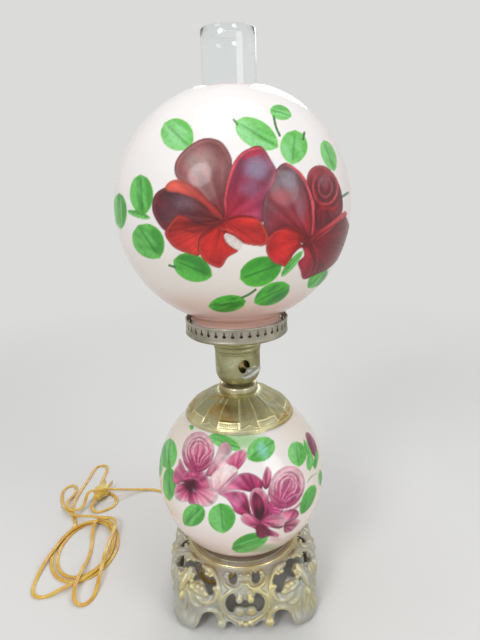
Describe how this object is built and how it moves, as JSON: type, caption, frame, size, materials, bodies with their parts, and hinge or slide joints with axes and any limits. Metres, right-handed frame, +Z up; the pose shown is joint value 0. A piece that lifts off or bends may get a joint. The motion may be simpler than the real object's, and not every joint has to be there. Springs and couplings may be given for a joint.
{
  "type": "parlor lamp",
  "caption": "Electrified parlor lamp with a painted globe shade and glass chimney over a painted glass ball on a pierced cast base, with its cord.",
  "frame": {"origin": "centre of the lamp's round axis on the surface that its feet stand on", "axes": "+Z up along the lamp's axis; the front, which the camera faces, looks along -Y; +X to the right seen from the front"},
  "size_m": [0.4362, 0.4168, 0.659],
  "materials": {
    "cast_base": "worn ivory-grey paint over cast metal, gilt on the ridges",
    "aged_brass": "antique brass, darkened in the hollows",
    "olive_brass": "satin olive-gold brass",
    "steel": "plain plated steel",
    "grey_metal": "dull grey plated casting",
    "opal_glass": "glossy opal glass with a pink blush and painted flowers",
    "chimney_glass": "clear polished",
    "bulb_glass": "soft white",
    "porcelain": "glazed porcelain",
    "fibre": "vulcanised fibre",
    "black_plastic": "moulded black",
    "cord": "clear gold insulation",
    "plug": "moulded clear gold"
  },
  "bodies": {
    "stand": {"base_casting": "cast_base", "threaded_rod": "steel", "base_washer": "steel", "base_locknut": "steel", "upper_locknut": "steel", "cord_bushing": "black_plastic", "seat_pan": "olive_brass", "font_ball": "opal_glass", "vase_cap": "aged_brass", "neck_ring": "aged_brass", "socket_husk": "olive_brass", "socket_cap": "aged_brass", "socket_body": "porcelain", "terminal_screw_left": "aged_brass", "terminal_screw_right": "aged_brass", "socket_insulator": "fibre", "socket_shell": "aged_brass", "screw_shell": "aged_brass", "centre_contact": "aged_brass", "gallery_collar": "olive_brass", "gallery_plate": "aged_brass", "gallery_ring": "aged_brass", "chimney_holder": "aged_brass", "cord_tail": "cord", "cord_coil": "cord", "cord_lead": "cord", "cord_inner": "cord", "plug_body": "plug", "plug_blade_left": "aged_brass", "plug_blade_right": "aged_brass"},
    "key": {"key_shaft": "steel", "turn_key": "grey_metal"},
    "globe": {"globe_shade": "opal_glass"},
    "chimney": {"chimney": "chimney_glass"},
    "bulb": {"bulb_tip": "steel", "bulb_base": "aged_brass", "bulb_glass": "bulb_glass"}
  },
  "joints": [
    {"name": "key_turn", "type": "hinge", "parent": "stand", "child": "key", "pos_m": [0, 0, 0.304], "axis": [0.4226, -0.9063, 0], "continuous": true},
    {"name": "globe_lift", "type": "slide", "parent": "stand", "child": "globe", "axis": [0, 0, 1], "range_m": [0, 0.31]},
    {"name": "chimney_lift", "type": "slide", "parent": "stand", "child": "chimney", "axis": [0, 0, 1], "range_m": [0, 0.26]},
    {"name": "bulb_unscrew", "type": "slide", "parent": "stand", "child": "bulb", "axis": [0, 0, 1], "range_m": [0, 0.03]}
  ]
}
